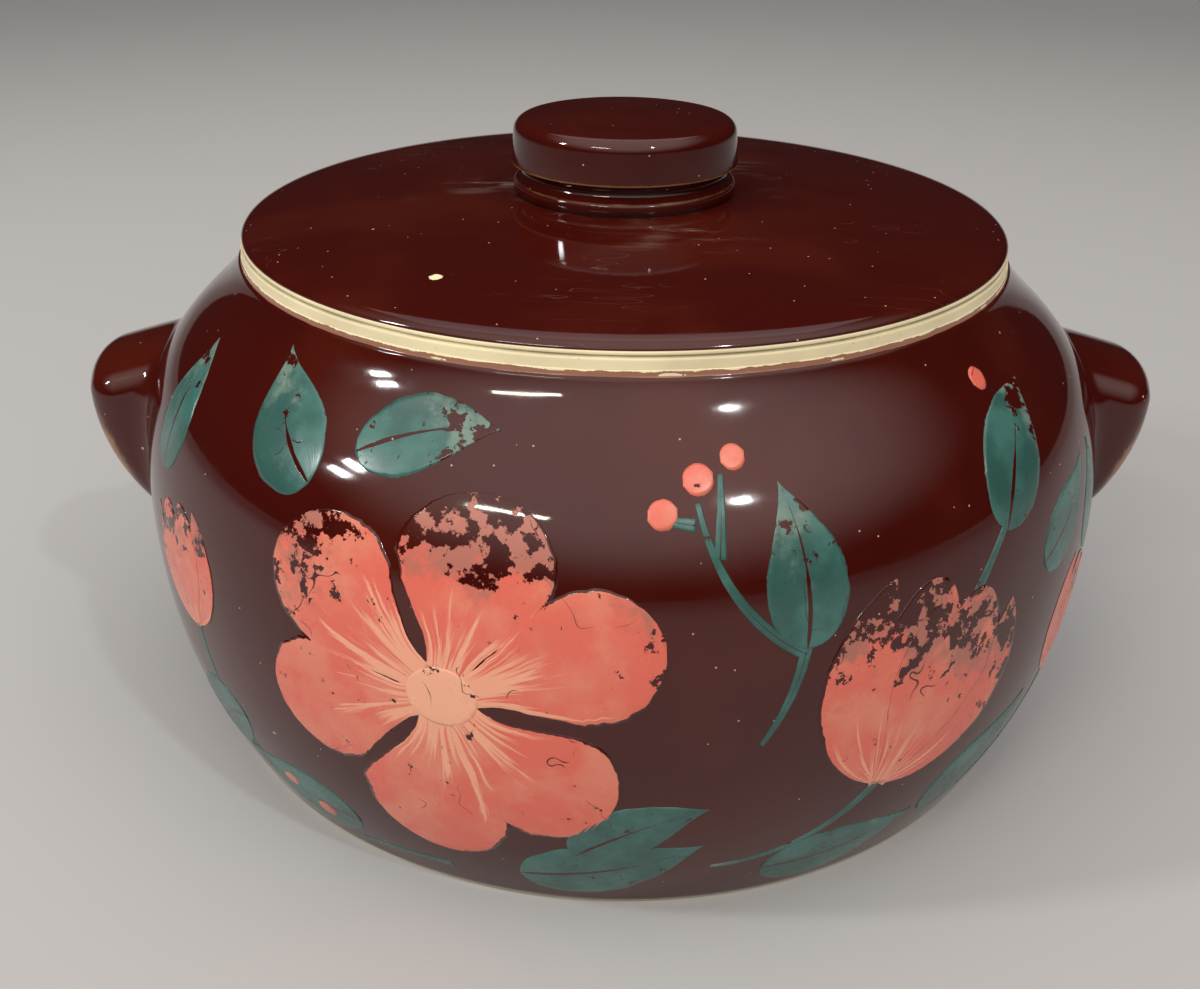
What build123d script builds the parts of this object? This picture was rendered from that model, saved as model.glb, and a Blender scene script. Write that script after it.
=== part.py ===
from build123d import *
import os
from math import asin, cos, radians, sin, sqrt, tan

os.makedirs("parts", exist_ok=True)

# A covered stoneware bean pot: a round bellied pot with two solid lug handles, and a domed lid
# that drops into the mouth by a locating flange and lifts off by a round knob.
# Millimetres. +Z is up, the table is at Z = 0, and the lugs lie along X.

# ---- Pot ----
RIM_HEIGHT = 114.2  # table to the flat rim that carries the lid
RIM_RADIUS = 87.9  # outside of the bare collar
RIM_WIDTH = 7.5  # flat rim, from the collar in to the mouth
COLLAR_HEIGHT = 2.4  # upright bare band below the rim
RIM_ROUNDING = 0.8
THROAT_DEPTH = 9.0  # upright part of the mouth
THROAT_ROUNDING = 3.0  # lower edge of the throat
THROAT_JOIN = 0.34  # share of the inside neck curve that the thick rim covers
BELLY_RADIUS = 112.7
BELLY_HEIGHT = 55.0  # height of the widest turn
NECK_ANGLE = 17.2  # flare under the collar, from upright
NECK_PULL = 0.31  # share of the upper height that keeps the neck's flare
SHOULDER_PULL = 0.78  # share of the upper height that keeps the belly upright
HAUNCH_PULL = 0.60  # share of the lower height that keeps the belly upright
FOOT_PULL = 0.12  # share of the lower height that keeps the foot's lean
FOOT_RADIUS = 100.2
FOOT_LEAN = 19.0  # lean of the wall where it meets the foot, from upright
FOOT_ROUNDING = 2.4
FOOT_RING_WIDTH = 12.0  # bare ring that stands on the table
FOOT_RECESS = 1.8
WALL = 6.5
FLOOR = 7.0
FLOOR_ROUNDING = 12.0  # inside corner between the wall and the floor

# ---- Lug handles ----
LUG_STANDOUT = 14.9  # belly to the tip of a lug
LUG_TIP = 20.0  # height of the tip above the widest turn
LUG_WIDTH = 38.0
LUG_END_RADIUS = 44.0  # the end is a shallow dome of this radius
LUG_CORNER = 8.0  # rounding of the upright corners
LUG_EDGE = 6.0  # rounding of the top edge
LUG_RISE = 26.0  # sides of the lug's top, where they leave the belly, above the widest turn
LUG_CROWN = 4.5  # the middle of the top above its sides
LUG_TOP_FALL = 16.0  # the top falls outwards by this angle
LUG_BLEND = 7.0  # radius of the clay smoothed into the joint
BLEND_INSET = 0.15  # the smoothed clay ends in a low edge, as if it met the wall this far in

# ---- Lid ----
LID_SETBACK = 1.9  # rim left showing outside the lid
LID_EDGE_HEIGHT = 0.7  # upright bare edge
LID_EDGE_ROUNDING = 0.3
LID_ROLL_WIDTH = 8.0  # rolled edge between the upright edge and the dome
LID_ROLL_HEIGHT = 3.6  # top of the rolled edge above the rim
LID_CROWN_HEIGHT = 7.7  # middle of the dome above the rim
ROLL_PULL = 0.58  # share of the rolled edge that keeps each end's direction
LID_THICKNESS = 6.0
LID_CLEARANCE = 1.2  # round the flange, inside the mouth
FLANGE_DEPTH = 7.0  # below the rim
FLANGE_WIDTH = 4.5
FLANGE_ROUNDING = 1.2

# ---- Knob ----
KNOB_FOOT_RADIUS = 25.3  # bead that stands on the lid
KNOB_FOOT_HEIGHT = 2.9
BEAD_LEDGE = 1.1  # top of the bead, from its side in to the groove
BEAD_ROUNDING = 1.0
GROOVE_HEIGHT = 3.2
GROOVE_DEPTH = 2.6
CAP_RADIUS = 25.7
CAP_SIDE_HEIGHT = 9.9
CAP_LEAN = 4.5  # the side leans in by this angle
CAP_CROWN = 0.8  # the middle of the top above its edge
CAP_ROUNDING = 3.0
CAP_LIP_ROUNDING = 0.4

# ---- Derived sizes ----
LUG_REACH = BELLY_RADIUS + LUG_STANDOUT
LUG_TOP = BELLY_HEIGHT + LUG_RISE
MOUTH_RADIUS = RIM_RADIUS - RIM_WIDTH
NECK_HEIGHT = RIM_HEIGHT - COLLAR_HEIGHT
SHOULDER_HEIGHT = NECK_HEIGHT - BELLY_HEIGHT
LID_RADIUS = RIM_RADIUS - LID_SETBACK
DOME_RADIUS_AT_ROLL = LID_RADIUS - LID_ROLL_WIDTH
DOME_RISE = LID_CROWN_HEIGHT - LID_ROLL_HEIGHT
DOME_SPHERE = (DOME_RADIUS_AT_ROLL**2 + DOME_RISE**2) / (2 * DOME_RISE)
CROWN = RIM_HEIGHT + LID_CROWN_HEIGHT
FLANGE_RADIUS = MOUTH_RADIUS - LID_CLEARANCE
FLANGE_BORE = FLANGE_RADIUS - FLANGE_WIDTH
LUG_TOP_RADIUS = ((LUG_WIDTH / 2) ** 2 + LUG_CROWN**2) / (2 * LUG_CROWN)
TOUCHING = 0.01  # shapes this close to each other touch


def revolved(edges):
    """Turns a closed outline of radius and height about the pot's axis, starting at the back."""
    outline = Curve() + edges
    return revolve(Plane.YZ * make_face(outline), Axis.Z)


def ring_edges(solid, height, radius):
    """The circular edges of a turned solid at one height and radius."""
    level = solid.edges().filter_by_position(Axis.Z, height - TOUCHING, height + TOUCHING)
    circles = level.filter_by(GeomType.CIRCLE)
    return [edge for edge in circles if abs(edge.radius - radius) < TOUCHING]


def wall_curves(inset):
    """The wall's neck-to-belly and belly-to-foot curves, set in from the pot's outside."""
    flare = radians(NECK_ANGLE)
    neck = Vector(RIM_RADIUS - inset * cos(flare), NECK_HEIGHT - inset * sin(flare))
    belly = Vector(BELLY_RADIUS - inset, BELLY_HEIGHT)
    lean = radians(FOOT_LEAN)
    foot = Vector(FOOT_RADIUS - inset / cos(lean), 0)
    down_the_flare = Vector(sin(flare), -cos(flare)) * NECK_PULL * SHOULDER_HEIGHT
    up_the_belly = Vector(0, SHOULDER_PULL * SHOULDER_HEIGHT)
    down_the_belly = Vector(0, -HAUNCH_PULL * BELLY_HEIGHT)
    up_the_lean = Vector(tan(lean), 1) * FOOT_PULL * BELLY_HEIGHT
    upper = Bezier(neck, neck + down_the_flare, belly + up_the_belly, belly)
    lower = Bezier(belly, belly + down_the_belly, foot + up_the_lean, foot)
    return upper, lower


def pot_form(inset):
    """The pot's outer form up to the rim, solid right through and set in all over."""
    upper, lower = wall_curves(inset)
    neck = upper @ 0
    sides = Polyline(lower @ 1, (0, 0), (0, RIM_HEIGHT), (neck.X, RIM_HEIGHT), neck)
    return revolved([upper, lower, sides])


def pot_hollow():
    """The space inside the pot, open at the mouth. The thick rim runs down into the wall."""
    upper, lower = wall_curves(WALL)
    neck = upper.trim(THROAT_JOIN, 1)
    throat_bottom = (MOUTH_RADIUS, RIM_HEIGHT - THROAT_DEPTH)
    above = RIM_HEIGHT + WALL
    top = Polyline((0, above), (MOUTH_RADIUS, above), throat_bottom, neck @ 0)
    hollow = revolved([neck, lower, Polyline(lower @ 1, (0, 0), (0, above)), top])
    floor = Pos(0, 0, FLOOR / 2) * Cylinder(BELLY_RADIUS, FLOOR)
    hollow = hollow - floor
    floor_edge = hollow.edges().group_by(Axis.Z)[0]
    return fillet(floor_edge, FLOOR_ROUNDING)


def pot_body():
    """The thrown pot: round belly, flat rim, and a foot ring round a shallow recess."""
    body = pot_form(0)
    body = fillet(ring_edges(body, 0, FOOT_RADIUS), FOOT_ROUNDING)
    recess = Pos(0, 0, FOOT_RECESS / 2) * Cylinder(FOOT_RADIUS - FOOT_RING_WIDTH, FOOT_RECESS)
    body = body - recess - pot_hollow()
    throat_bottom = ring_edges(body, RIM_HEIGHT - THROAT_DEPTH, MOUTH_RADIUS)
    body = fillet(throat_bottom, THROAT_ROUNDING)
    rim = ring_edges(body, RIM_HEIGHT, RIM_RADIUS) + ring_edges(body, RIM_HEIGHT, MOUTH_RADIUS)
    return fillet(rim, RIM_ROUNDING)


def lug_blank():
    """One lug on +X before it meets the pot: a ledge with an arched top and a domed end."""
    half = LUG_WIDTH / 2
    root = BELLY_RADIUS - half
    tip_height = BELLY_HEIGHT + LUG_TIP
    end = Pos(LUG_REACH - LUG_END_RADIUS, 0, tip_height) * Sphere(LUG_END_RADIUS)
    from_root = (Align.MIN, Align.CENTER, Align.CENTER)
    ledge = Box(LUG_REACH, LUG_WIDTH, 2 * LUG_END_RADIUS, align=from_root)
    blank = end & (Pos(root, 0, tip_height) * ledge)
    bows = blank.edges().filter_by(GeomType.CIRCLE)
    blank = fillet([bow for bow in bows if abs((bow @ 0.5).Y) > half - TOUCHING], LUG_CORNER)
    top_line = Pos(BELLY_RADIUS, 0, LUG_TOP) * Rot(0, LUG_TOP_FALL, 0)
    arch = Pos(0, 0, LUG_CROWN - LUG_TOP_RADIUS) * Rot(0, 90, 0)
    blank = blank & (top_line * arch * Cylinder(LUG_TOP_RADIUS, 4 * LUG_REACH))
    top = blank.faces().sort_by(Axis.Z)[-1]
    outer_edges = [edge for edge in top.edges() if (edge @ 0.5).X > root + TOUCHING]
    return fillet(outer_edges, LUG_EDGE)


def right_lug():
    """A lug on +X, seated on the pot's outside, with its joint smoothed over."""
    wall = pot_form(BLEND_INSET)
    joined = wall + lug_blank()
    on_wall = [edge for edge in joined.edges() if wall.distance_to(edge @ 0.5) < TOUCHING]
    seam = [edge for edge in on_wall if (edge @ 0.5).X > RIM_RADIUS]
    return fillet(seam, LUG_BLEND) - pot_form(0)


def dome_height(radius, depth):
    """Height of the lid's dome at a radius, or of a face parallel to it at a depth below."""
    return CROWN - DOME_SPHERE + sqrt((DOME_SPHERE - depth) ** 2 - radius**2)


def crown_arc(middle_height, radius, edge_height):
    """The outline of a round top: level on the axis, and falling to its edge."""
    return TangentArc((0, middle_height), (radius, edge_height), tangent=(1, 0))


def dome_arc(radius, depth):
    """The dome's outline from the axis out to a radius, at a depth below its top."""
    return crown_arc(dome_height(0, depth), radius, dome_height(radius, depth))


def rolled_edge():
    """The lid's outline from the edge of the dome over and down to the bare upright edge."""
    dome_edge = Vector(DOME_RADIUS_AT_ROLL, RIM_HEIGHT + LID_ROLL_HEIGHT)
    bare_edge = Vector(LID_RADIUS, RIM_HEIGHT + LID_EDGE_HEIGHT)
    slope = asin(DOME_RADIUS_AT_ROLL / DOME_SPHERE)
    along_dome = Vector(cos(slope), -sin(slope)) * ROLL_PULL * LID_ROLL_WIDTH
    up_the_edge = Vector(0, ROLL_PULL * (LID_ROLL_HEIGHT - LID_EDGE_HEIGHT))
    return Bezier(dome_edge, dome_edge + along_dome, bare_edge + up_the_edge, bare_edge)


def lid():
    """The domed lid: it rests on the rim, and its flange drops into the mouth."""
    top = dome_arc(DOME_RADIUS_AT_ROLL, 0)
    roll = rolled_edge()
    under = dome_arc(FLANGE_BORE, LID_THICKNESS)
    flange_foot = RIM_HEIGHT - FLANGE_DEPTH
    seat = Polyline(
        roll @ 1,
        (LID_RADIUS, RIM_HEIGHT),
        (FLANGE_RADIUS, RIM_HEIGHT),
        (FLANGE_RADIUS, flange_foot),
        (FLANGE_BORE, flange_foot),
        under @ 1,
    )
    solid = revolved([top, roll, seat, under, Line(under @ 0, top @ 0)])
    flange_edges = [ring_edges(solid, flange_foot, edge) for edge in (FLANGE_RADIUS, FLANGE_BORE)]
    solid = fillet(flange_edges[0] + flange_edges[1], FLANGE_ROUNDING)
    return fillet(ring_edges(solid, RIM_HEIGHT, LID_RADIUS), LID_EDGE_ROUNDING)


def lid_knob():
    """The knob: a bead on the lid, a finger groove, and a broad cap with a rounded top."""
    foot = dome_height(KNOB_FOOT_RADIUS, 0)
    bead_top = foot + KNOB_FOOT_HEIGHT
    cap_bottom = bead_top + GROOVE_HEIGHT
    cap_top = cap_bottom + CAP_SIDE_HEIGHT
    cap_top_radius = CAP_RADIUS - CAP_SIDE_HEIGHT * tan(radians(CAP_LEAN))
    bead_inner = KNOB_FOOT_RADIUS - BEAD_LEDGE
    groove_bottom = (KNOB_FOOT_RADIUS - GROOVE_DEPTH, bead_top + GROOVE_HEIGHT / 2)
    seat = dome_arc(KNOB_FOOT_RADIUS, 0)
    bead = Polyline(seat @ 1, (KNOB_FOOT_RADIUS, bead_top), (bead_inner, bead_top))
    groove = ThreePointArc((bead_inner, bead_top), groove_bottom, (CAP_RADIUS, cap_bottom))
    side = Line((CAP_RADIUS, cap_bottom), (cap_top_radius, cap_top))
    top = crown_arc(cap_top + CAP_CROWN, cap_top_radius, cap_top)
    solid = revolved([seat, bead, groove, side, top, Line(top @ 0, seat @ 0)])
    solid = fillet(ring_edges(solid, cap_top, cap_top_radius), CAP_ROUNDING)
    solid = fillet(ring_edges(solid, bead_top, KNOB_FOOT_RADIUS), BEAD_ROUNDING)
    return fillet(ring_edges(solid, cap_bottom, CAP_RADIUS), CAP_LIP_ROUNDING)


right = right_lug()
parts = {
    "pot_body": pot_body(),
    "right_lug": right,
    "left_lug": mirror(right, Plane.YZ),
    "lid": lid(),
    "lid_knob": lid_knob(),
}
for name, shape in parts.items():
    export_step(shape, f"parts/{name}.step")
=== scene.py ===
from bisect import bisect
from collections import namedtuple
from math import cos, hypot, pi, radians, sin, sqrt, tan, tau

import bpy
from bpy.props import FloatProperty, FloatVectorProperty, PointerProperty
from mathutils import Matrix, Vector, noise


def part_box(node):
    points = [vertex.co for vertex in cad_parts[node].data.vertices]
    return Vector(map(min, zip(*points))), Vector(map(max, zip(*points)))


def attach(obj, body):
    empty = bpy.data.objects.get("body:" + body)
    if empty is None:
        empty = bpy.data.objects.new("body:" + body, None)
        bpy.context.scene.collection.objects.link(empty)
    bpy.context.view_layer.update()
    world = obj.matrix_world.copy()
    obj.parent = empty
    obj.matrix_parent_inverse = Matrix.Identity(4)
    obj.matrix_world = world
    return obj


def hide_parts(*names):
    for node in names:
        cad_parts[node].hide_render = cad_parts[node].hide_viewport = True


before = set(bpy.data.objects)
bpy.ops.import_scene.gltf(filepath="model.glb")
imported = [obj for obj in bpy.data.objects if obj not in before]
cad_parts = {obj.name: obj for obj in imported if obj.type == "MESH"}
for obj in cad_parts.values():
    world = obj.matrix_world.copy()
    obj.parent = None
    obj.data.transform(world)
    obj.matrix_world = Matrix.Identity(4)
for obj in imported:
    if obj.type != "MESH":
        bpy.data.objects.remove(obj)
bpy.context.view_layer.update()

bl_info = {
    "name": "Stoneware bean pot",
    "version": (1, 0, 0),
    "blender": (4, 5, 0),
    "location": "View3D > Sidebar > Bean Pot",
    "description": "Builds a glazed and painted covered stoneware pot round its solid frame",
    "category": "Add Mesh",
}

POT_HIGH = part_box("pot_body")[1]
MM = 0.001
MERGE = 0.002 * MM  # points closer than this are one point
LONGEST_STEP = 3 * MM  # points on a curve lie closer than this, so a longer step is a straight stretch
HOLD = 0.25 * MM  # a straight stretch keeps its own shading up to this far from its ends
TURNED_STEPS = 288
COAT_STEPS = 360  # the outside coat is turned more finely, for its wavering top edge
EMBEDDED = 0.9 * MM  # depth to which a coat of glaze reaches into the clay
CHIP_PLACE = Vector((-37.0, -57.5, 0)) * MM  # chip in the lid's glaze, from the middle of the lid
JOINT_SHADE_REACH = 0.42 * MM  # how far the painted shade spreads from the joint between the lid and the rim

# The outside coat's edges. Its top edge is a thin film, with distances down the neck from the bare collar.
FILM_POINTS = (0, 0.12, 0.3, 0.6, 0.9, 1.15, 1.35, 1.55, 1.8, 2.2)  # mm, for the coat's outline
FILM_THICKNESS = 0.05 * MM
FILM_START = (0, 0.12 * MM)  # the film comes out of the clay between these
FILM_ROOT = 0.02 * MM  # how deep it starts in the clay
FILM_FADE = (-0.25 * MM, 0.35 * MM)  # its colour fades between these, from its lower end
COAT_START = (-0.15 * MM, 0.45 * MM)  # the coat thickens between these, from the film's lower end
RIDGE_END = (0.5 * MM, 2.2 * MM)  # the fat edge thins out between these, from the film's lower end
NOTCHED = 0.6 * MM  # reach of the notches in the film's edge
EDGE_WAVES = ((0.22, 14 * MM, 3), (0.16, 4 * MM, 8))  # the edge's waves: height in mm, swell and seed
WAVY = (0.4 * MM, 5 * MM)  # the waves fade out between these
TABLE_GAP = 0.35 * MM  # the coat ends this far above the table
COAT_END = 0.6 * MM  # and thins out over this distance
LINING_START = (0.1 * MM, 0.8 * MM)  # the inside coat thickens between these, from the throat
LINING_NOTCHED = 0.7 * MM
LID_COAT_END = 0.5 * MM  # the lid's coat thins out over this distance to the bare edge

# How thin the glaze has run on the lugs
LUG_THIN = 0.50  # low on a lug
LUG_THIN_EDGE = 1.1  # added on an edge between a side and the end
LUG_THIN_RISE = (0.25, 0.85)  # the thinness fades out between these shares of a lug's rise
LUG_THIN_ROOT = 0.12  # the share of it that is left at the lug's root
LUG_ENDS = 2 * MM  # the root and the tip reach this far along the lug


# ---- Settings ----


def length(name, description, millimetres):
    return FloatProperty(name=name, description=description, default=millimetres * MM, unit="LENGTH")


def angle(name, description, degrees):
    return FloatProperty(name=name, description=description, default=radians(degrees), unit="ROTATION")


def share(name, description, default):
    return FloatProperty(name=name, description=description, default=default, min=0, max=1, subtype="FACTOR")


def colour(name, description, default):
    return FloatVectorProperty(
        name=name, description=description, default=(*default, 1), size=4, min=0, max=1, subtype="COLOR"
    )


class PotSizes(bpy.types.PropertyGroup):
    """The thrown pot."""

    rim_radius: length("Rim radius", "Outside of the bare collar", 86.5)
    rim_width: length("Rim width", "Flat rim from the collar in to the mouth", 6.1)
    rim_height: length("Rim height", "Table to the flat rim", POT_HIGH.z / MM)
    collar_height: length("Collar height", "Upright bare band below the rim", 2.4)
    rim_rounding: length("Rim rounding", "Edges of the rim", 0.8)
    throat_depth: length("Throat depth", "Upright part of the mouth", 9.0)
    throat_rounding: length("Throat rounding", "Lower edge of the throat", 3.0)
    throat_join: share("Throat join", "Share of the inside neck curve that the thick rim covers", 0.34)
    belly_radius: length("Belly radius", "Widest turn of the pot", POT_HIGH.x / MM)
    belly_height: length("Belly height", "Height of the widest turn", 55.0)
    neck_angle: angle("Neck angle", "Flare under the collar, from upright", 21.4)
    neck_pull: share("Neck pull", "Share of the upper height that keeps the neck's flare", 0.318)
    shoulder_pull: share("Shoulder pull", "Share of the upper height that keeps the belly upright", 0.78)
    haunch_pull: share("Haunch pull", "Share of the lower height that keeps the belly upright", 0.60)
    foot_pull: share("Foot pull", "Share of the lower height that keeps the foot's lean", 0.12)
    foot_radius: length("Foot radius", "Outside of the foot at the table", 100.2)
    foot_lean: angle("Foot lean", "Lean of the wall where it meets the foot, from upright", 19.0)
    foot_rounding: length("Foot rounding", "Outer edge of the foot", 2.4)
    foot_ring_width: length("Foot ring width", "Bare ring that stands on the table", 12.0)
    foot_recess: length("Foot recess", "Underside above the table", 1.8)
    wall: length("Wall", "Thickness of the wall", 6.5)
    floor: length("Floor", "Thickness of the floor", 7.0)
    floor_rounding: length("Floor rounding", "Inside corner between the wall and the floor", 12.0)


class LidSizes(bpy.types.PropertyGroup):
    """The lid, from the rim up."""

    setback: length("Setback", "Rim left showing outside the lid", 0.3)
    edge_height: length("Edge height", "Upright bare edge", 0.7)
    edge_rounding: length("Edge rounding", "Lower rounding of the bare edge", 0.35)
    roll_width: length("Roll width", "Rolled edge between the upright edge and the dome", 8.4)
    roll_height: length("Roll height", "Top of the rolled edge above the rim", 3.6)
    roll_pull: share("Roll pull", "Share of the rolled edge that keeps each end's direction", 0.58)
    crown_height: length("Crown height", "Middle of the dome above the rim", 7.7)
    thickness: length("Thickness", "Thickness of the dome", 6.0)
    clearance: length("Clearance", "Room round the flange inside the mouth", 1.2)
    flange_depth: length("Flange depth", "Locating flange below the rim", 7.0)
    flange_width: length("Flange width", "Thickness of the locating flange", 4.5)
    flange_rounding: length("Flange rounding", "Lower edges of the flange", 1.2)


class KnobSizes(bpy.types.PropertyGroup):
    """The knob on the middle of the lid."""

    foot_radius: length("Foot radius", "Bead that stands on the lid", 25.3)
    foot_height: length("Foot height", "Height of the bead", 2.9)
    ledge: length("Ledge", "Top of the bead from its side in to the groove", 1.1)
    bead_rounding: length("Bead rounding", "Upper edge of the bead", 1.0)
    groove_height: length("Groove height", "Opening of the finger groove", 3.2)
    groove_depth: length("Groove depth", "Depth of the finger groove", 2.6)
    cap_radius: length("Cap radius", "Lower edge of the cap", 25.7)
    side_height: length("Side height", "Side of the cap", 9.9)
    lean: angle("Lean", "The side leans in by this angle", 4.5)
    crown: length("Crown", "Middle of the top above its edge", 0.8)
    cap_rounding: length("Cap rounding", "Upper edge of the cap", 3.0)
    lip_rounding: length("Lip rounding", "Lower edge of the cap", 0.4)


class GlazeFinish(bpy.types.PropertyGroup):
    """The dark glaze and the bare clay."""

    coat: length("Coat", "The glaze stands this far above the clay", 0.3)
    film: length("Film", "Thin glaze drawn up at the top edge of the coat", 1.3)
    ridge: length("Ridge", "Fat edge of the coat below the thin film", 0.10)
    deep: colour("Deep glaze", "Where the glaze is thick", (0.052, 0.0044, 0.0030))
    warm: colour("Warm glaze", "Where the glaze is a little thinner", (0.068, 0.0080, 0.0040))
    amber: colour("Amber", "Where the glaze breaks over an edge", (0.30, 0.140, 0.054))
    film_colour: colour("Film", "Thin glaze over pale clay", (0.34, 0.155, 0.095))
    speck: colour("Specks", "Grit that shows through the glaze", (0.50, 0.38, 0.30))
    clay: colour("Bare clay", "Unglazed buff stoneware", (0.95, 0.84, 0.54))
    clay_dust: colour("Clay specks", "Faint darker specks in the clay", (0.55, 0.45, 0.28))
    # Painted shade: the dark colour of the clay in the joint where the lid's edge stands on the rim.
    joint_shade: colour("Dirt", "Old grease in the joint between the lid and the rim", (0.10, 0.075, 0.030))
    dust: colour("Dust", "Dry film and rubbed marks on the lid", (0.30, 0.20, 0.17))


class PaintFinish(bpy.types.PropertyGroup):
    """The flowers and leaves painted over the glaze."""

    lift: length("Lift", "The first stroke of paint stands this far above the glaze", 0.09)
    layer: length("Layer", "Each later stroke stands this much higher", 0.025)
    coral: colour("Coral", "Petals", (0.77, 0.152, 0.104))
    light_coral: colour("Light coral", "Thinner paint on the petals", (0.78, 0.24, 0.16))
    pale: colour("Pale coral", "Streaks and flower centres", (0.92, 0.45, 0.29))
    # Worn coral: real wear, and a painted sheen that greys the upper petals.
    worn_sheen_coral: colour("Worn coral", "Petals where the paint is worn thin", (0.42, 0.16, 0.12))
    teal: colour("Teal", "Leaves", (0.030, 0.100, 0.086))
    light_teal: colour("Light teal", "Thinner paint on the leaves", (0.056, 0.172, 0.150))
    # Worn teal: real wear, and a painted sheen that greys the upper leaves.
    worn_sheen_teal: colour("Worn teal", "Leaves where the paint is worn thin", (0.17, 0.25, 0.205))


class StudioSettings(bpy.types.PropertyGroup):
    """Floor, lamps and camera."""

    floor_colour: colour("Floor", "Plain pale table", (0.475, 0.48, 0.485))
    far_floor: colour("Far floor", "The table away from the pot", (0.275, 0.28, 0.285))
    surround: colour("Surround", "Dim light from all round", (0.013, 0.012, 0.012))
    glow: colour("Glow", "Broad soft light from high in front", (1.0, 0.92, 0.86))
    glow_strength: FloatProperty(
        name="Glow strength", description="Brightness of the broad soft light", default=1.38
    )
    back_power: FloatProperty(
        name="Back light", description="Power of the soft lamp behind", default=3.2, unit="POWER"
    )
    lens: FloatProperty(
        name="Lens", description="Focal length on a 36 mm wide sensor", default=39.0, unit="CAMERA"
    )


class BeanPotSettings(bpy.types.PropertyGroup):
    """Everything that can be changed about the pot."""

    pot: PointerProperty(name="Pot", description="Sizes of the pot", type=PotSizes)
    lid: PointerProperty(name="Lid", description="Sizes of the lid", type=LidSizes)
    knob: PointerProperty(name="Knob", description="Sizes of the knob", type=KnobSizes)
    glaze: PointerProperty(name="Glaze", description="Glaze and clay", type=GlazeFinish)
    paint: PointerProperty(name="Paint", description="Painted flowers and leaves", type=PaintFinish)
    studio: PointerProperty(name="Studio", description="Floor, lamps and camera", type=StudioSettings)


# ---- Outlines: lists of (radius, height) ----


def at(radius, height):
    return Vector((radius, height))


def curve_points(start, start_pull, end_pull, end, count):
    """A smooth curve between two points, drawn towards a pull point near each end."""
    points = []
    for step in range(count + 1):
        t = step / count
        near, far = 1 - t, t
        point = start * near**3 + start_pull * (3 * near * near * far)
        points.append(point + end_pull * (3 * near * far * far) + end * far**3)
    return points


def arc_points(centre, start, end, count):
    """The shorter arc from one point to another about a centre."""
    first, last = (start - centre).normalized(), (end - centre).normalized()
    radius = (start - centre).length
    return [centre + first.slerp(last, step / count) * radius for step in range(count + 1)]


def arc_through(start, middle, end, count):
    """The round arc through three points."""
    first, second = middle - start, end - start
    cross = 2 * (first.x * second.y - first.y * second.x)
    to_centre = at(
        second.y * first.length_squared - first.y * second.length_squared,
        first.x * second.length_squared - second.x * first.length_squared,
    )
    centre = start + to_centre / cross
    half = count // 2
    return arc_points(centre, start, middle, half) + arc_points(centre, middle, end, half)[1:]


def rounded(before, corner, after, radius, count=6):
    """The arc that rounds the corner between two straight stretches."""
    back = (before - corner).normalized()
    onward = (after - corner).normalized()
    half = back.angle(onward) / 2
    centre = corner + (back + onward).normalized() * radius / sin(half)
    reach = radius / tan(half)
    return arc_points(centre, corner + back * reach, corner + onward * reach, count)


def joined(*spans):
    """One outline from spans of points. Long straight stretches get points near their ends and along them."""
    points = [point for span in spans for point in (span if isinstance(span, list) else [span])]
    outline = [points[0]]
    for point in points[1:]:
        last = outline[-1]
        gap = (point - last).length
        if gap < MERGE:
            continue
        if gap > LONGEST_STEP:
            along = (point - last) / gap
            inner = gap - 2 * HOLD
            count = max(1, round(inner / LONGEST_STEP))
            outline += [last + along * (HOLD + inner * place / count) for place in range(count + 1)]
        outline.append(point)
    return outline


def run_lengths(outline):
    """How far each point of an outline is from its start, along the outline."""
    lengths = [0.0]
    for before, after in zip(outline, outline[1:]):
        lengths.append(lengths[-1] + (after - before).length)
    return lengths


def raised(outline, lift):
    """The outline moved square to itself: outwards where it runs down the outside of a form.

    The lift is a distance, or a function of a point's distances from the outline's start and end. An end
    on the axis stays on it.
    """
    runs = run_lengths(outline)
    moved = []
    for index, point in enumerate(outline):
        before = outline[max(index - 1, 0)]
        after = outline[min(index + 1, len(outline) - 1)]
        along = (after - before).normalized()
        amount = lift(runs[index], runs[-1] - runs[index]) if callable(lift) else lift
        if point.x > 0:
            moved.append(point + at(-along.y, along.x) * amount)
        else:
            moved.append(at(0, point.y + (amount if along.x > 0 else -amount)))
    return moved


def smooth_step(value, low, high):
    """0 below low, 1 above high and a smooth change between them."""
    share_of_way = min(max((value - low) / (high - low), 0.0), 1.0)
    return share_of_way * share_of_way * (3 - 2 * share_of_way)


# ---- Forms of the pot and lid ----


def neck_height(pot):
    """Height at which the bare collar ends and the neck begins."""
    return pot.rim_height - pot.collar_height


def wall_curves(pot, inset, count=44):
    """The wall's neck-to-belly and belly-to-foot curves, set in from the pot's outside."""
    shoulder = neck_height(pot) - pot.belly_height
    flare, lean = pot.neck_angle, pot.foot_lean
    neck = at(pot.rim_radius - inset * cos(flare), neck_height(pot) - inset * sin(flare))
    belly = at(pot.belly_radius - inset, pot.belly_height)
    foot = at(pot.foot_radius - inset / cos(lean), 0)
    neck_pull = neck + at(sin(flare), -cos(flare)) * pot.neck_pull * shoulder
    belly_above = belly + at(0, pot.shoulder_pull * shoulder)
    belly_below = belly - at(0, pot.haunch_pull * pot.belly_height)
    foot_pull = foot + at(tan(lean), 1) * pot.foot_pull * pot.belly_height
    upper = curve_points(neck, neck_pull, belly_above, belly, count)
    lower = curve_points(belly, belly_below, foot_pull, foot, count)
    return upper, lower


def outside_wall(pot, count=44):
    """The wall from the neck down to the table, with the foot's outer edge rounded."""
    upper, lower = wall_curves(pot, 0, count)
    foot = at(pot.foot_radius, 0)
    edge = rounded(foot + at(tan(pot.foot_lean), 1), foot, at(0, 0), pot.foot_rounding)
    sides = [point for point in upper + lower[1:] if point.y > edge[0].y]
    return sides + edge


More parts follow.
